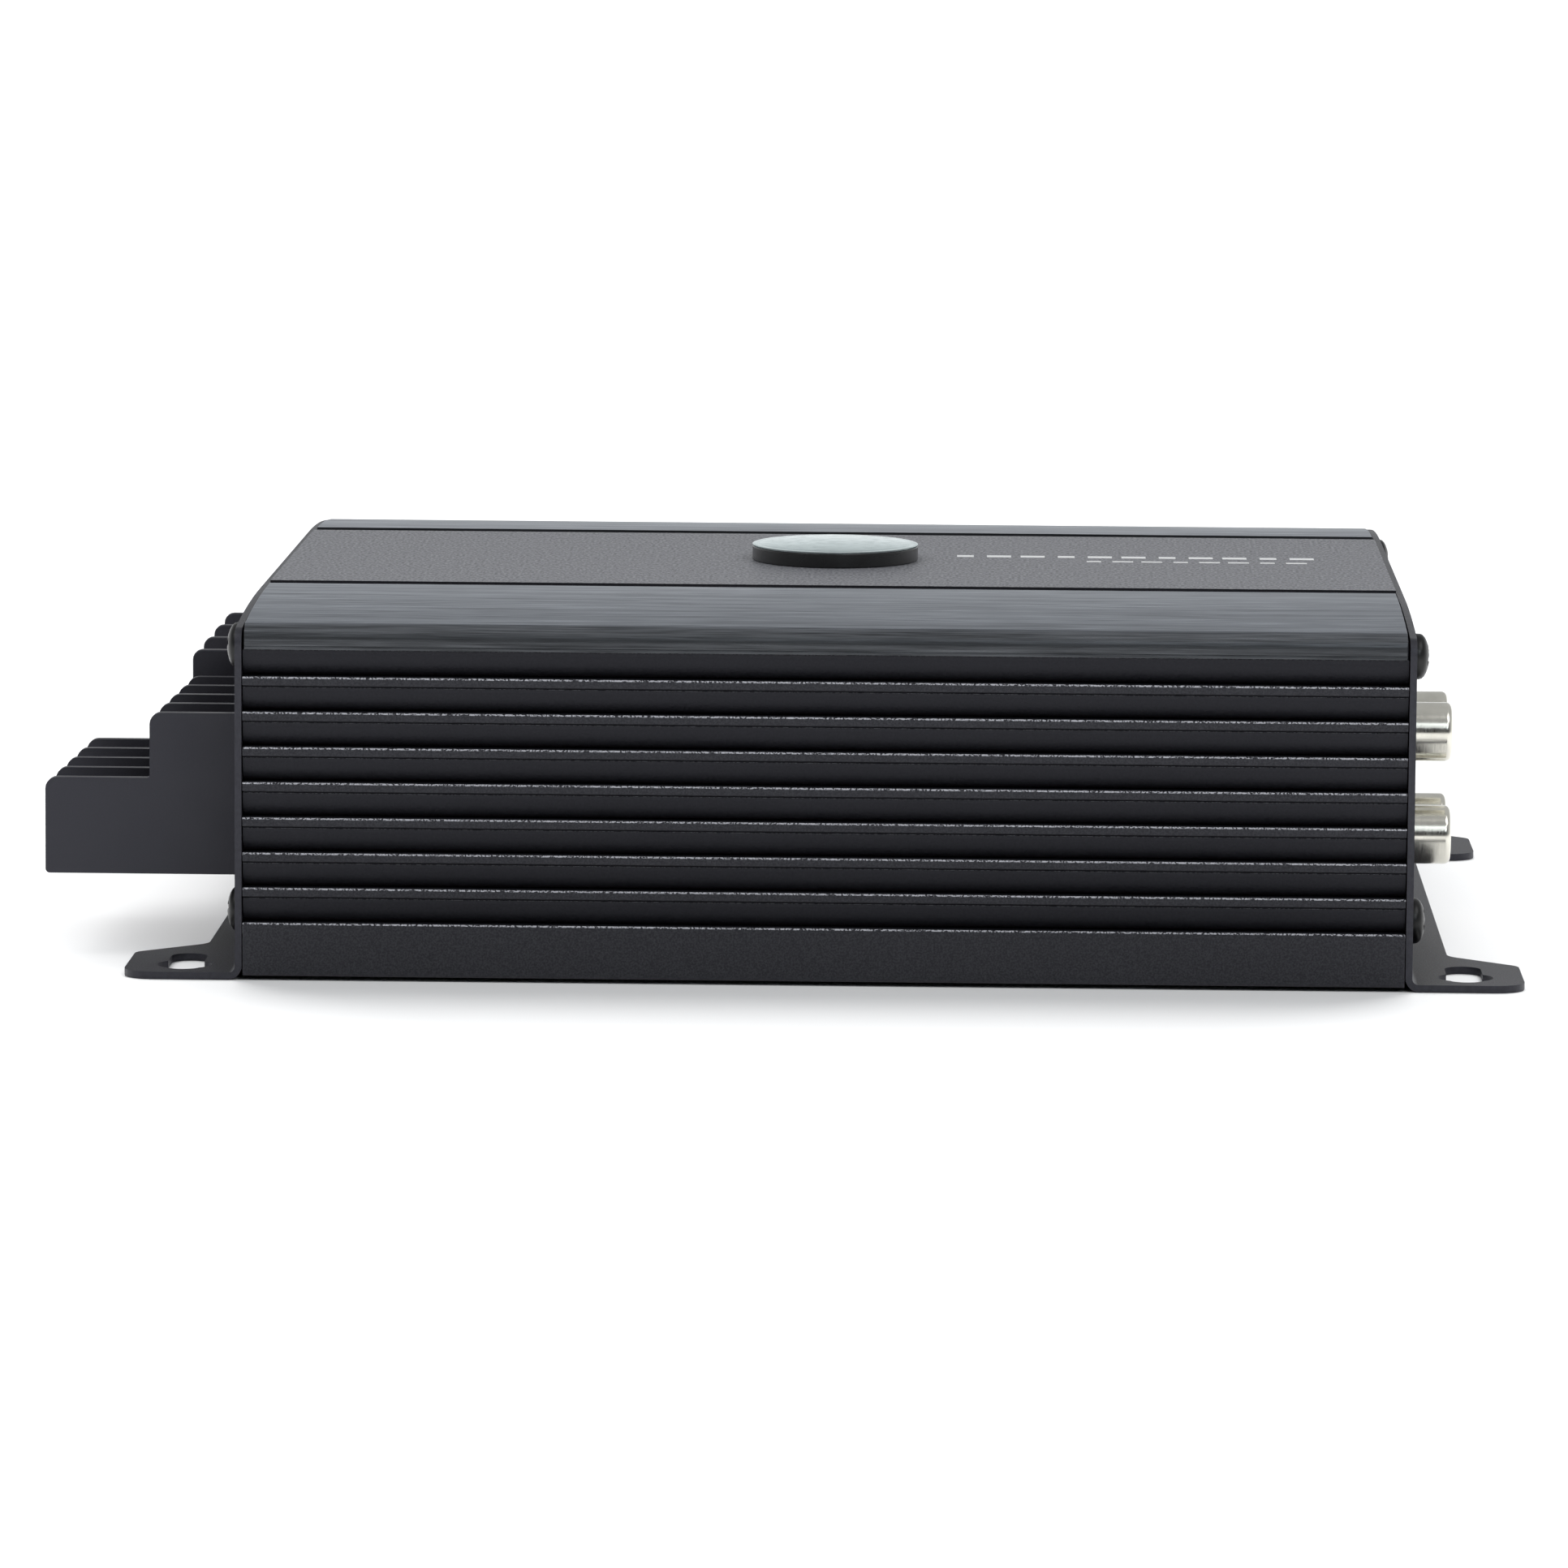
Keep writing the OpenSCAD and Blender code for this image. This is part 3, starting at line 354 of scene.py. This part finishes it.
def soften(piece, width, segments, weigh):
    """Rounds the piece's real edges and shades its curved faces smooth.

    With weigh, each edge gets its own share of the width.
    """
    mesh = piece.data
    mesh.shade_smooth()
    mesh.set_sharp_from_angle(angle=math.radians(EDGE_ANGLE))
    bevel = piece.modifiers.new("rounded_edges", "BEVEL")
    bevel.width = width
    bevel.segments = segments
    bevel.limit_method = "ANGLE" if weigh is None else "WEIGHT"
    bevel.angle_limit = math.radians(EDGE_ANGLE)
    bevel.use_clamp_overlap = weigh is None
    bevel.miter_outer = "MITER_ARC"
    smooth = piece.modifiers.new("even_shading", "WEIGHTED_NORMAL")
    smooth.keep_sharp = False


def merged_copy(node):
    """A CAD node's mesh with its triangles joined into whole faces."""
    bm = bmesh.new()
    bm.from_mesh(NODES[node].data)
    bmesh.ops.remove_doubles(bm, verts=bm.verts, dist=0.001 * MM)
    bmesh.ops.dissolve_limit(bm, angle_limit=math.radians(0.6), verts=bm.verts, edges=bm.edges)
    return bm


def weigh_casing_edges(bm):
    """Full bevel along the outer edges of the ribs' ledges, a lesser one on every other convex edge."""
    bm.normal_update()
    side = max(abs(v.co.y) for v in bm.verts)
    share = bm.edges.layers.float.new("bevel_weight_edge")
    for edge in bm.edges:
        if len(edge.link_faces) != 2 or not edge.is_convex:
            continue
        if edge.calc_face_angle() < math.radians(EDGE_ANGLE):
            continue
        outside = all(abs(v.co.y) > side - 0.01 * MM for v in edge.verts)
        ledge = any(face.normal.z > 0.9 for face in edge.link_faces)
        edge[share] = 1.0 if outside and ledge else LESSER_SHARE


def refined(node, width, segments, weigh=None):
    """A piece that stands for a CAD node: the same shape with rounded edges."""
    bm = merged_copy(node)
    if weigh is not None:
        weigh(bm)
    slot = SLOT_OF[node]
    piece = new_piece(node + "_finished", bm, slot, NODES[node]["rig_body"])
    normals = piece.data.attributes.get("custom_normal")
    if normals is not None:
        piece.data.attributes.remove(normals)
    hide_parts(node)
    soften(piece, width, segments, weigh)


# Bevel width and segments of each finished piece
EDGES = {
    "front_trim": (0.15 * MM, 3), "rear_trim": (0.15 * MM, 3),
    "left_end_plate": (0.16 * MM, 3), "right_end_plate": (0.16 * MM, 3),
    "bottom_cover": (0.2 * MM, 3), "badge_base": (0.18 * MM, 3),
    "speaker_terminal_block": (0.28 * MM, 3), "power_terminal_block": (0.28 * MM, 3),
    "speaker_terminal_clamps": (0.15 * MM, 2), "power_terminal_clamps": (0.18 * MM, 2),
    "speaker_terminal_screws": (0.08 * MM, 2), "power_terminal_screws": (0.1 * MM, 2),
    "left_plate_screws": (0.08 * MM, 2), "right_plate_screws": (0.08 * MM, 2),
    "bottom_cover_screws": (0.05 * MM, 2), "fuse_holder": (0.22 * MM, 3),
    "front_fuse_body": (0.22 * MM, 3), "rear_fuse_body": (0.22 * MM, 3),
    "front_fuse_blades": (0.08 * MM, 2), "rear_fuse_blades": (0.08 * MM, 2),
    "jack_housing": (0.2 * MM, 2), "jack_shells": (0.12 * MM, 3),
    "jack_insulators_white": (0.2 * MM, 3), "jack_insulators_red": (0.2 * MM, 3),
    "jack_contacts": (0.12 * MM, 3), "front_gain_shaft": (0.15 * MM, 3),
    "front_crossover_shaft": (0.15 * MM, 3), "rear_gain_shaft": (0.15 * MM, 3),
    "rear_crossover_shaft": (0.15 * MM, 3), "front_filter_slider": (0.2 * MM, 3),
    "rear_filter_slider": (0.2 * MM, 3), "input_mode_slider": (0.2 * MM, 3),
    "slide_switch_bodies": (0.15 * MM, 2), "potentiometer_bodies": (0.2 * MM, 2),
}


def build_refined():
    refined("heatsink_body", 0.3 * MM, 3, weigh=weigh_casing_edges)
    for node, (width, segments) in EDGES.items():
        refined(node, width, segments)


def build_plain():
    """The lamps and the inner pieces keep their CAD shape and get a finished material."""
    for node, obj in NODES.items():
        if node not in EDGES and node not in ("heatsink_body", "badge_face"):
            obj.material_slots[0].material = MATERIALS[SLOT_OF[node]]


def build_badge_face():
    """Shallow polished dome with a step round its rim."""
    low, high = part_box("badge_face")
    centre = (low + high) / 2
    half = (high - low) / 2
    rings, around = 24, 120
    bm = bmesh.new()
    # Insets as shares of the half width, heights as shares of the thickness
    profile = [(0.0, 0.0), (0.0, 0.25), (0.012, 0.32), (0.05, 0.36), (0.07, 0.33), (0.085, 0.36)]
    profile += [(0.085 + 0.915 * k / rings, 0.36 + 0.64 * math.sin(math.pi / 2 * k / rings) ** 0.8)
                for k in range(1, rings)]
    loops = []
    for inset, rise in profile:
        loop = []
        for k in range(around):
            angle = 2 * math.pi * k / around
            loop.append(bm.verts.new((centre.x + half.x * (1 - inset) * math.cos(angle),
                                      centre.y + half.y * (1 - inset) * math.sin(angle),
                                      low.z + 2 * half.z * rise)))
        loops.append(loop)
    for lower, upper in zip(loops, loops[1:]):
        for k in range(around):
            n = (k + 1) % around
            bm.faces.new((lower[k], lower[n], upper[n], upper[k]))
    crown = bm.verts.new((centre.x, centre.y, high.z))
    for k in range(around):
        bm.faces.new((loops[-1][k], loops[-1][(k + 1) % around], crown))
    bm.faces.new(list(reversed(loops[0])))
    piece = new_piece("badge_face_finished", bm, "badge_chrome", "casing")
    piece.data.shade_smooth()
    piece.data.set_sharp_from_angle(angle=math.radians(50))
    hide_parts("badge_face")


# Prints ---------------------------------------------------------------------------------


# Thickness of the printed ink
INK = 0.03 * MM
# How far the ends of the control shafts lie inside the end plate's face
SHAFT_INSET = 0.1 * MM
# From the top of a terminal strip up to its signs
SIGN_RISE = 2.4 * MM
DIALS = ("front_gain_shaft", "front_crossover_shaft", "rear_gain_shaft", "rear_crossover_shaft")
SLIDERS = ("front_filter_slider", "rear_filter_slider", "input_mode_slider")


def ink_material(name, color):
    s = Surface(name, color, 0.5)
    wear = s.noise(0.25 * MM, 3.0)
    s.paint(s.remap(wear, 0.0, 1.0, 0.2, 0.5), tuple(c * 0.75 for c in color), color)
    s.bump(wear, 0.004 * MM, 0.4)
    MATERIALS[name] = s.material


def bar(bm, middle, size, normal="Z"):
    """Thin slab of ink on a face that looks along normal; size is its length and width there."""
    spans = {"Z": (size[0], size[1], INK), "X": (INK, size[0], size[1])}[normal]
    matrix = Matrix.Translation(middle) @ Matrix.Diagonal((*spans, 1.0))
    bmesh.ops.create_cube(bm, size=1.0, matrix=matrix)


def print_piece(name, bm, ink):
    """Piece of printed marks: it counts as white plastic and shows the named ink."""
    piece = new_piece(name, bm, "white_plastic", "casing")
    piece.data.materials[0] = MATERIALS[ink]
    bevel = piece.modifiers.new("soft_corners", "BEVEL")
    bevel.width = 0.008 * MM
    bevel.segments = 2


def build_top_marks():
    """Two rows of plain silver bars on the centre panel."""
    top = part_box("heatsink_body")[1].z
    bm = bmesh.new()
    # Start, end, place across, width and number of bars
    rows = ((16 * MM, 69.8 * MM, 6.2 * MM, 2.6 * MM, 11), (35 * MM, 68.5 * MM, -0.2 * MM, 1.5 * MM, 8))
    for start, end, y, width, count in rows:
        pitch = (end - start) / count
        for k in range(count):
            length = pitch * (0.72 if k % 3 else 0.5)
            bar(bm, Vector((start + pitch * (k + 0.5), y, top + INK / 2)), (length, width))
    print_piece("top_marks", bm, "silver_ink")


def build_end_marks():
    """Dial ticks round the four controls and short lines by the switches, jacks and lamps."""
    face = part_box("front_gain_shaft")[1].x + SHAFT_INSET + INK / 2
    bm = bmesh.new()
    for node in DIALS:
        low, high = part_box(node)
        centre = (low + high) / 2
        for k in range(11):
            angle = math.radians(-150 + 30 * k)
            long_tick = k % 5 == 0
            length = (1.4 if long_tick else 0.9) * MM
            reach = 4.4 * MM + length / 2
            spot = Matrix.Translation((face, centre.y, centre.z)) @ Matrix.Rotation(-angle, 4, "X")
            size = Matrix.Diagonal((INK, 0.28 * MM, length, 1.0))
            bmesh.ops.create_cube(bm, size=1.0, matrix=spot @ Matrix.Translation((0, 0, reach)) @ size)
    for node in SLIDERS:
        low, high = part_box(node)
        y = (low.y + high.y) / 2
        for step in (-2.0, 0.0, 2.0):
            bar(bm, Vector((face, y + step * MM, high.z + 2.2 * MM)), (0.35 * MM, 1.3 * MM), "X")
    low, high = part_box("jack_shells")
    for z in (low.z - 1.4 * MM, high.z + 1.4 * MM):
        bar(bm, Vector((face, (low.y + high.y) / 2, z)), (high.y - low.y, 0.3 * MM), "X")
    for node in ("power_led", "protect_led"):
        low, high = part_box(node)
        bar(bm, Vector((face, (low.y + high.y) / 2, high.z + 1.6 * MM)), (2.2 * MM, 0.4 * MM), "X")
    print_piece("control_marks", bm, "pale_ink")


def build_terminal_marks():
    """Plus and minus signs above the terminals, with a dot over the middle power terminal."""
    face = -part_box("front_gain_shaft")[1].x - SHAFT_INSET - INK / 2
    bm = bmesh.new()
    low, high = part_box("speaker_terminal_block")
    for k in range(4):
        y = low.y + (k + 0.5) * (high.y - low.y) / 4
        bar(bm, Vector((face, y, high.z + SIGN_RISE)), (2.0 * MM, 0.4 * MM), "X")
        if k % 2 == 0:
            bar(bm, Vector((face, y, high.z + SIGN_RISE)), (0.4 * MM, 2.0 * MM), "X")
    low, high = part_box("power_terminal_block")
    for k in range(3):
        y = low.y + (k + 0.5) * (high.y - low.y) / 3
        size = (1.1 * MM, 1.1 * MM) if k == 1 else (2.6 * MM, 0.5 * MM)
        bar(bm, Vector((face, y, high.z + SIGN_RISE)), size, "X")
        if k == 0:
            bar(bm, Vector((face, y, high.z + SIGN_RISE)), (0.5 * MM, 2.6 * MM), "X")
    print_piece("terminal_marks", bm, "pale_ink")


# Stage, light and camera ----------------------------------------------------------------


def build_floor():
    bm = bmesh.new()
    bmesh.ops.create_grid(bm, x_segments=1, y_segments=1, size=20.0)
    mesh = bpy.data.meshes.new("floor")
    bm.to_mesh(mesh)
    bm.free()
    floor = bpy.data.objects.new("floor", mesh)
    floor.location.z = -0.05 * MM
    SCENE.collection.objects.link(floor)
    mesh.materials.append(Surface("floor_paper", grey(0.9), 0.9, Specular_IOR_Level=0.1).material)
    return floor


def build_world():
    """Pale studio walls, palest low behind the object, with a darker strip low in front of it."""
    world = bpy.data.worlds.new("studio")
    SCENE.world = world
    world.use_nodes = True
    tree = world.node_tree
    background = tree.nodes["Background"]
    place = tree.nodes.new("ShaderNodeTexCoord")
    axes = tree.nodes.new("ShaderNodeSeparateXYZ")
    tree.links.new(place.outputs["Generated"], axes.inputs["Vector"])

    def spread(source, start, end, low, high):
        made = tree.nodes.new("ShaderNodeMapRange")
        made.interpolation_type = "SMOOTHSTEP"
        for socket, number in zip(MAP_SOCKETS, (start, end, low, high)):
            made.inputs[socket].default_value = number
        tree.links.new(source, made.inputs["Value"])
        return made.outputs["Result"]

    def maths(kind, one, two):
        made = tree.nodes.new("ShaderNodeMath")
        made.operation = kind
        tree.links.new(one, made.inputs[0])
        tree.links.new(two, made.inputs[1])
        return made.outputs["Value"]

    behind = spread(axes.outputs["Y"], -0.3, 0.5, 0.0, 1.0)
    wall = maths("MULTIPLY", spread(axes.outputs["Z"], 0.08, 0.36, 0.7, 0.0), behind)
    before = spread(axes.outputs["Y"], -0.75, -0.5, 1.0, 0.0)
    strip = maths("MULTIPLY", spread(axes.outputs["Z"], 0.28, 0.45, -0.3, 0.0), before)
    room = maths("ADD", strip, spread(axes.outputs["Y"], -0.95, 0.3, 0.32, 0.5))
    tree.links.new(maths("ADD", wall, room), background.inputs["Strength"])
    background.inputs["Color"].default_value = (0.97, 0.985, 1.0, 1.0)


def area_light(name, place, target, size, power, color=(1, 1, 1)):
    data = bpy.data.lights.new(name, "AREA")
    data.shape = "RECTANGLE"
    data.size, data.size_y = size
    data.energy = power
    data.color = color
    light = bpy.data.objects.new(name, data)
    light.location = place
    light.rotation_mode = "QUATERNION"
    light.rotation_quaternion = (Vector(target) - Vector(place)).to_track_quat("-Z", "Y")
    SCENE.collection.objects.link(light)
    return light


FLOOR_LIGHT = 3.2
FLOOR_SHADOW_NODES = ("heatsink_body", "bottom_cover", "left_end_plate", "right_end_plate")


def build_lights(floor):
    """Two high softboxes in front, left and right, a cool card, and a light for the floor only."""
    for side in (-1, 1):
        area_light("side_softbox", (side * 0.8, -0.6, 1.3), (0, 0, 0), (0.9, 0.9), 5)
    area_light("front_card", (0.42, -1.25, 0.75), (0.05, 0, 0.04), (0.45, 0.5), 2.6, (0.86, 0.94, 1.0))
    data = bpy.data.lights.new("floor_light", "SUN")
    data.energy = FLOOR_LIGHT
    data.angle = math.radians(60)
    wide = bpy.data.objects.new("floor_light", data)
    wide.rotation_euler = (math.radians(-40), 0, 0)
    SCENE.collection.objects.link(wide)
    only_floor = bpy.data.collections.new("lit_floor")
    only_floor.objects.link(floor)
    wide.light_linking.receiver_collection = only_floor
    casters = bpy.data.collections.new("floor_shadow_casters")
    for node in FLOOR_SHADOW_NODES:
        casters.objects.link(bpy.data.objects[node + "_finished"])
    wide.light_linking.blocker_collection = casters


def build_camera():
    """Long lens in front of the ribs, slightly above and right of the middle, almost level."""
    place = Vector((25.7, -1261.2, 174.2)) * MM
    turn, tilt, roll = 0.0264, 0.1236, 0.0068
    ahead = Vector((-math.sin(turn) * math.cos(tilt), math.cos(turn) * math.cos(tilt), -math.sin(tilt)))
    level = Vector((math.cos(turn), math.sin(turn), 0))
    above = level.cross(ahead)
    right = math.cos(roll) * level + math.sin(roll) * above
    up = math.cos(roll) * above - math.sin(roll) * level
    data = bpy.data.cameras.new("camera")
    data.sensor_width = 36
    data.lens = 200.6
    data.clip_start = 0.05
    data.clip_end = 60
    camera = bpy.data.objects.new("camera", data)
    axes = Matrix((right, up, -ahead)).transposed()
    camera.matrix_world = Matrix.Translation(place) @ axes.to_4x4()
    SCENE.collection.objects.link(camera)
    SCENE.camera = camera


ink_material("silver_ink", grey(0.95))
ink_material("pale_ink", grey(0.5))
build_refined()
build_plain()
build_badge_face()
build_top_marks()
build_end_marks()
build_terminal_marks()
build_world()
build_lights(build_floor())
build_camera()
SCENE.view_settings.view_transform = "Standard"
